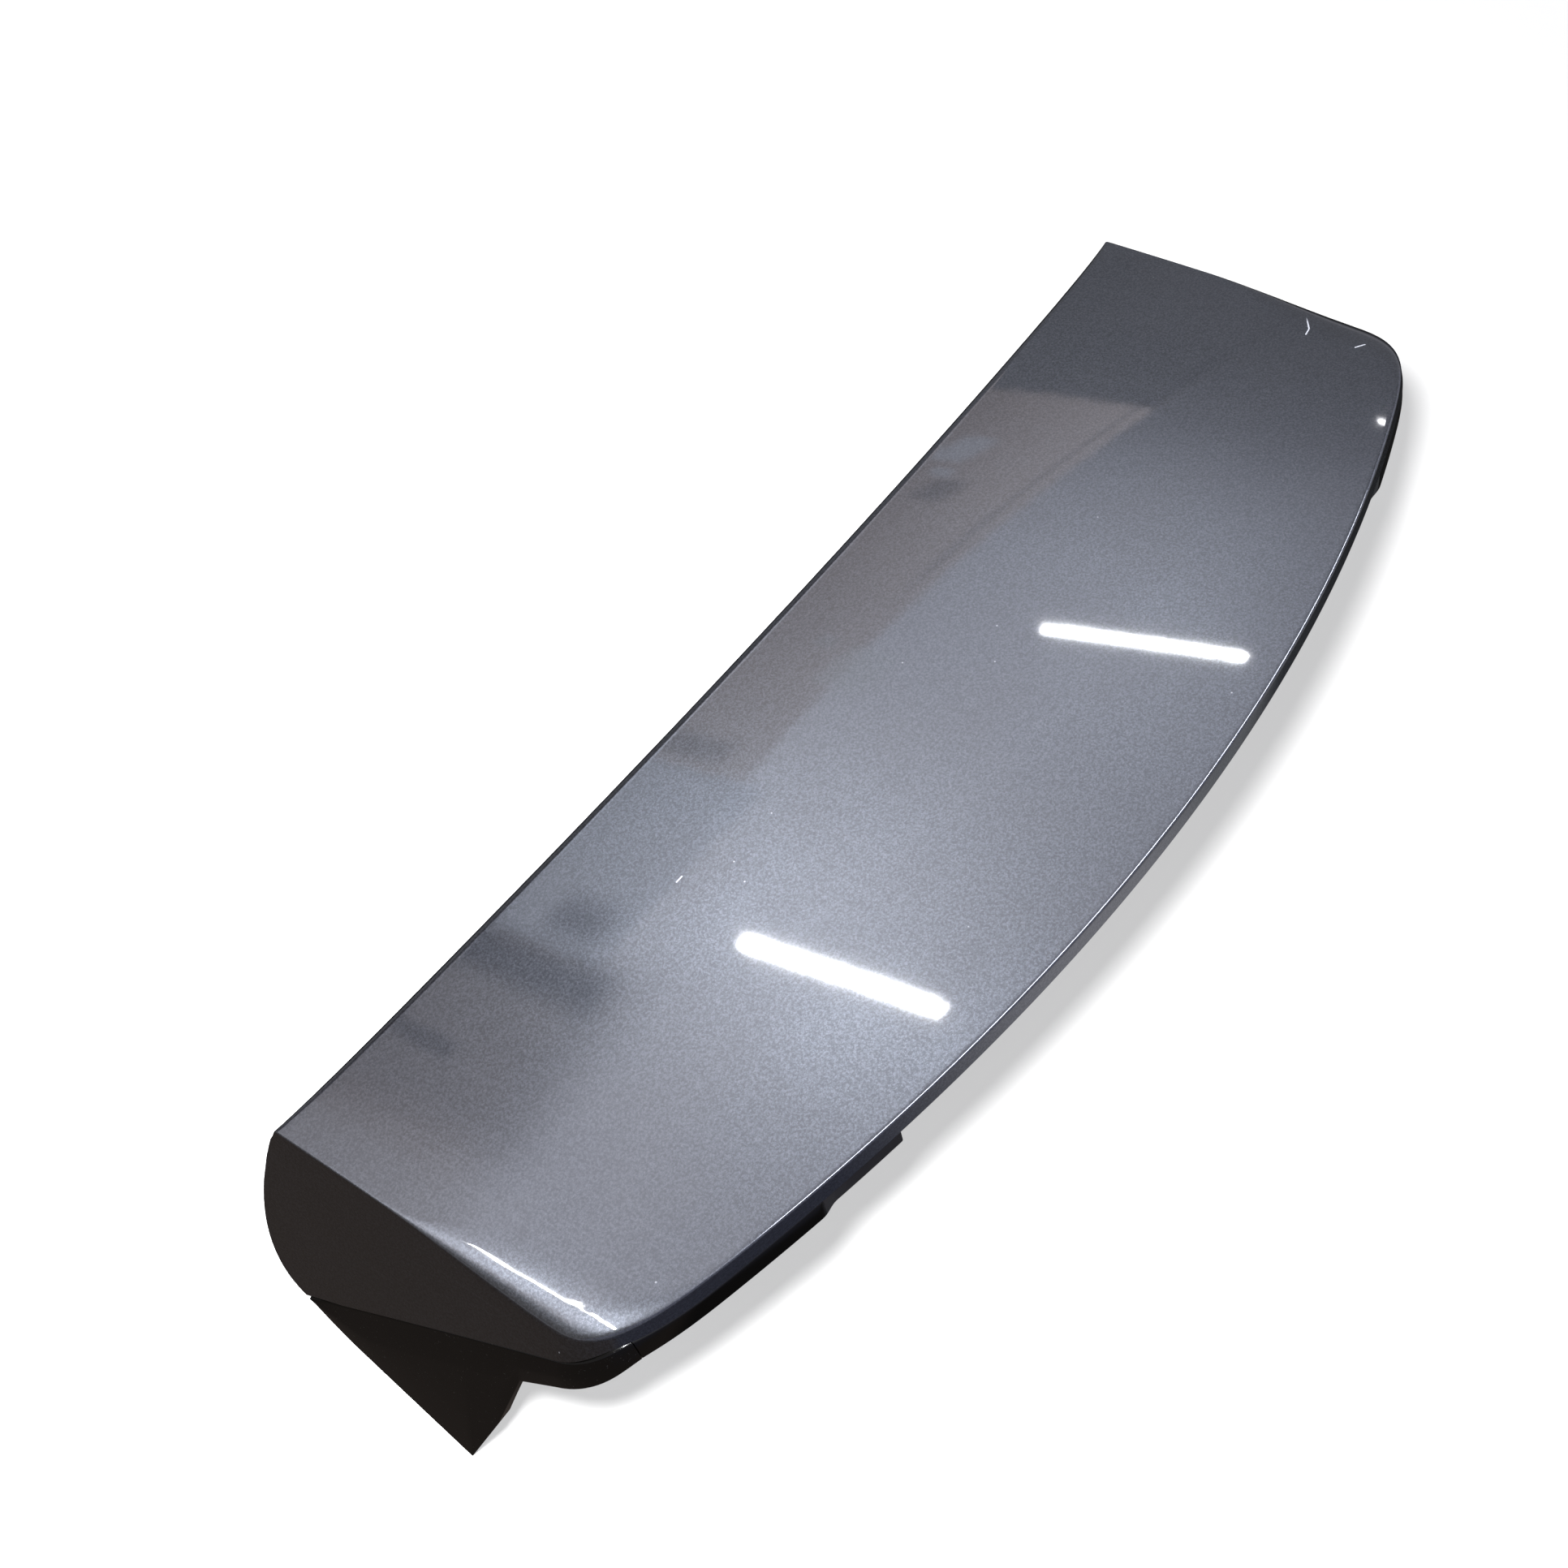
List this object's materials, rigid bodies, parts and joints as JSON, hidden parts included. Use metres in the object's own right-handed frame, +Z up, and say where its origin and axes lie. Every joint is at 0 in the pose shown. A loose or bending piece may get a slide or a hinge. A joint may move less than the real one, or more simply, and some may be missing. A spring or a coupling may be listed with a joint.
{
  "type": "rear roof spoiler",
  "caption": "Rear roof spoiler with a painted metallic grey outer skin, gloss black end fins and a black lower shell.",
  "frame": {"origin": "under the middle of the part, on the surface that the fins' lower edges rest on", "axes": "+X across the car, +Y towards its front, +Z up, with the fins' lower edges level"},
  "size_m": [1.2804, 0.4101, 0.3038],
  "materials": {
    "body_paint": "metallic dark grey paint under clear coat",
    "gloss_black": "gloss black",
    "black_plastic": "satin moulded black",
    "foam": "closed-cell foam",
    "spring_steel": "bright spring steel",
    "plated_steel": "zinc plated",
    "clip_plastic": "natural nylon"
  },
  "bodies": {
    "root": {"outer_skin": "body_paint", "lower_shell": "black_plastic", "left_fin": "gloss_black", "right_fin": "gloss_black", "left_fin_seal": "foam", "right_fin_seal": "foam", "fin_clips": "spring_steel", "front_seal": "foam", "mounting_studs": "plated_steel", "stud_gaskets": "foam", "locating_pins": "black_plastic", "retaining_clips": "clip_plastic"}
  },
  "joints": []
}
